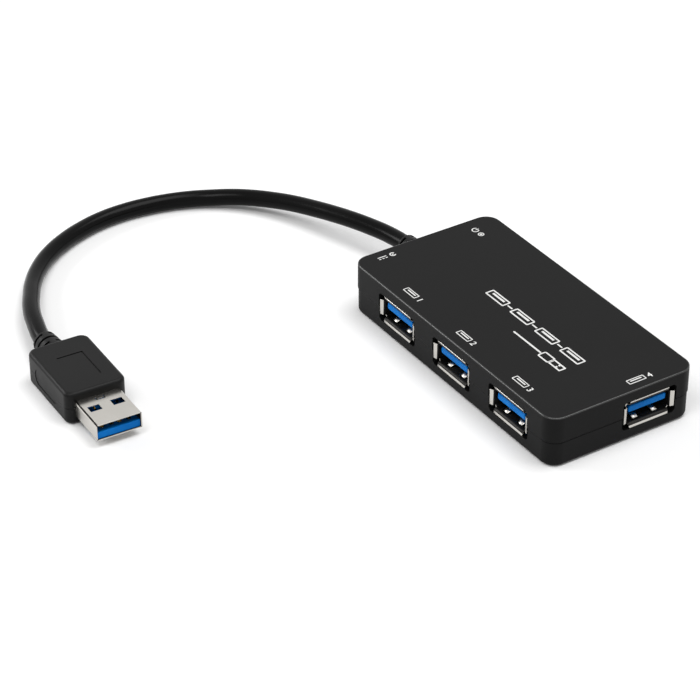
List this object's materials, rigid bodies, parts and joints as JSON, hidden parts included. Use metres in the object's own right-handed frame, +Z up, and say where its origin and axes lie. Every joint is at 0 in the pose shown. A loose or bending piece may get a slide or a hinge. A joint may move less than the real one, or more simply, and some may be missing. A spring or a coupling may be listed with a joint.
{
  "type": "usb hub",
  "caption": "Slim black data hub with side and end sockets, a power inlet, a power light and a short captive lead that ends in a plug.",
  "frame": {"origin": "middle of the casing's footprint on the table, without the lead and its plug", "axes": "+X along the casing towards the end that holds the fourth socket, +Y away from the side with three sockets, +Z up"},
  "size_m": [0.1562, 0.1279, 0.014],
  "materials": {
    "casing_top": "fine satin moulded ABS",
    "casing_bottom": "fine satin moulded ABS",
    "circuit_board": "dark solder mask on glass-epoxy board",
    "nickel_plate": "bright nickel on stamped steel",
    "blue_plastic": "blue moulded thermoplastic",
    "gold_plate": "gold flash on copper alloy",
    "chip_resin": "black moulding resin",
    "bright_can": "bright drawn can",
    "ceramic_chip": "fired ceramic chip",
    "fuse_green": "green polymer fuse",
    "black_nylon": "black moulded nylon",
    "light_lens": "tinted clear epoxy",
    "soft_black": "soft moulded vinyl",
    "wire_insulation": "thin wire insulation",
    "lead_jacket": "satin extruded vinyl",
    "grip_black": "satin moulded vinyl",
    "white_ink": "pad-printed ink"
  },
  "bodies": {
    "root": {"top_shell": "casing_top", "bottom_shell": "casing_bottom", "circuit_board": "circuit_board", "port_1_shell": "nickel_plate", "port_2_shell": "nickel_plate", "port_3_shell": "nickel_plate", "port_4_shell": "nickel_plate", "port_1_insulator": "blue_plastic", "port_2_insulator": "blue_plastic", "port_3_insulator": "blue_plastic", "port_4_insulator": "blue_plastic", "port_1_contacts": "gold_plate", "port_2_contacts": "gold_plate", "port_3_contacts": "gold_plate", "port_4_contacts": "gold_plate", "hub_chip": "chip_resin", "crystal_can": "bright_can", "crystal_base": "chip_resin", "capacitor_cans": "bright_can", "capacitor_bases": "chip_resin", "chip_capacitors": "ceramic_chip", "chip_resistors": "chip_resin", "voltage_regulator": "chip_resin", "resettable_fuses": "fuse_green", "inlet_housing": "black_nylon", "inlet_pin": "nickel_plate", "inlet_terminal": "nickel_plate", "power_light": "light_lens", "light_leads": "nickel_plate", "strain_relief": "soft_black", "lead_wires": "wire_insulation", "lead": "lead_jacket", "plug_grip": "grip_black", "plug_shell": "nickel_plate", "plug_insert": "blue_plastic", "plug_contacts": "gold_plate"},
    "port_1_springs": {"port_1_springs": "gold_plate"},
    "port_2_springs": {"port_2_springs": "gold_plate"},
    "port_3_springs": {"port_3_springs": "gold_plate"},
    "port_4_springs": {"port_4_springs": "gold_plate"},
    "inlet_spring": {"inlet_spring": "nickel_plate"},
    "plug_springs": {"plug_springs": "gold_plate"}
  },
  "joints": [
    {"name": "port_1_contact_flex", "type": "hinge", "parent": "root", "child": "port_1_springs", "pos_m": [-0.022, -0.00755, 0.00766], "axis": [-1, 0, 0], "range_deg": [0, 5], "stiffness_Nm_per_rad": 0.15},
    {"name": "port_2_contact_flex", "type": "hinge", "parent": "root", "child": "port_2_springs", "pos_m": [0.0016, -0.00755, 0.00766], "axis": [-1, 0, 0], "range_deg": [0, 5], "stiffness_Nm_per_rad": 0.15},
    {"name": "port_3_contact_flex", "type": "hinge", "parent": "root", "child": "port_3_springs", "pos_m": [0.0252, -0.00755, 0.00766], "axis": [-1, 0, 0], "range_deg": [0, 5], "stiffness_Nm_per_rad": 0.15},
    {"name": "port_4_contact_flex", "type": "hinge", "parent": "root", "child": "port_4_springs", "pos_m": [0.02855, 0.0077, 0.00766], "axis": [0, -1, 0], "range_deg": [0, 5], "stiffness_Nm_per_rad": 0.15},
    {"name": "inlet_contact_flex", "type": "hinge", "parent": "root", "child": "inlet_spring", "pos_m": [-0.032, -0.0103, 0.0074], "axis": [0, 0, -1], "range_deg": [0, 3.9], "stiffness_Nm_per_rad": 0.17},
    {"name": "plug_contact_flex", "type": "hinge", "parent": "root", "child": "plug_springs", "pos_m": [-0.03538, -0.09863, 0.0047], "axis": [0.0523, 0.9986, 0], "range_deg": [0, 6], "stiffness_Nm_per_rad": 0.07}
  ]
}
